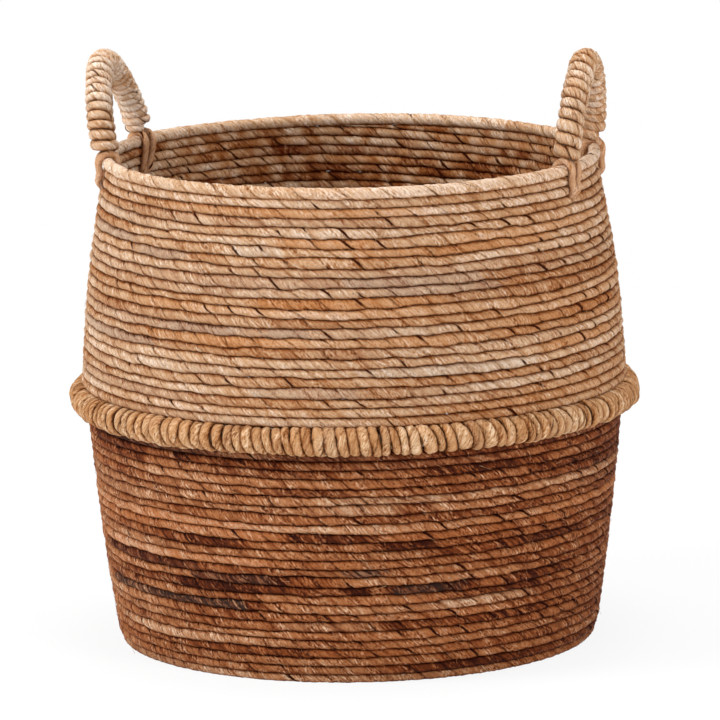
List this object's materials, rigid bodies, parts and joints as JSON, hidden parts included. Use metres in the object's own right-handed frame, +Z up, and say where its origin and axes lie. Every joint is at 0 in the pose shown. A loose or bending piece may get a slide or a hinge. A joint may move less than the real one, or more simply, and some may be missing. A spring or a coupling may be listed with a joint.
{
  "type": "belly basket",
  "caption": "Round rope-coil belly basket with a wrapped ring round its widest part, an open top and a wrapped handle on each side.",
  "frame": {"origin": "under the middle of the floor, on the surface that the basket stands on", "axes": "+Z up, +X to the right handle, +Y to the back, where the wall ropes climb and end"},
  "size_m": [0.485, 0.485, 0.505],
  "materials": {
    "natural_leaf_rope": "matte",
    "aged_leaf_rope": "matte",
    "pale_leaf_wrap": "matte",
    "inner_leaf": "matte"
  },
  "bodies": {
    "basket": {"floor_mat": "inner_leaf", "lower_wall_coil_1": "aged_leaf_rope", "lower_wall_coil_2": "aged_leaf_rope", "belly_ring_core": "inner_leaf", "belly_wrap_1": "pale_leaf_wrap", "belly_wrap_2": "pale_leaf_wrap", "belly_wrap_3": "pale_leaf_wrap", "belly_wrap_4": "pale_leaf_wrap", "belly_wrap_5": "pale_leaf_wrap", "belly_wrap_6": "pale_leaf_wrap", "upper_wall_coil_1": "natural_leaf_rope", "upper_wall_coil_2": "natural_leaf_rope", "rim_rope": "natural_leaf_rope", "right_front_lashing_1": "natural_leaf_rope", "right_front_lashing_2": "natural_leaf_rope", "right_back_lashing_1": "natural_leaf_rope", "right_back_lashing_2": "natural_leaf_rope", "left_front_lashing_1": "natural_leaf_rope", "left_front_lashing_2": "natural_leaf_rope", "left_back_lashing_1": "natural_leaf_rope", "left_back_lashing_2": "natural_leaf_rope"},
    "right_handle": {"right_handle_core": "inner_leaf", "right_handle_wrap": "natural_leaf_rope"},
    "left_handle": {"left_handle_core": "inner_leaf", "left_handle_wrap": "natural_leaf_rope"}
  },
  "joints": [
    {"name": "right_handle_lean", "type": "hinge", "parent": "basket", "child": "right_handle", "pos_m": [0.1958, 0, 0.4114], "axis": [0, 1, 0], "range_deg": [-25, 25]},
    {"name": "left_handle_lean", "type": "hinge", "parent": "basket", "child": "left_handle", "pos_m": [-0.1958, 0, 0.4114], "axis": [0, -1, 0], "range_deg": [-25, 25]}
  ]
}
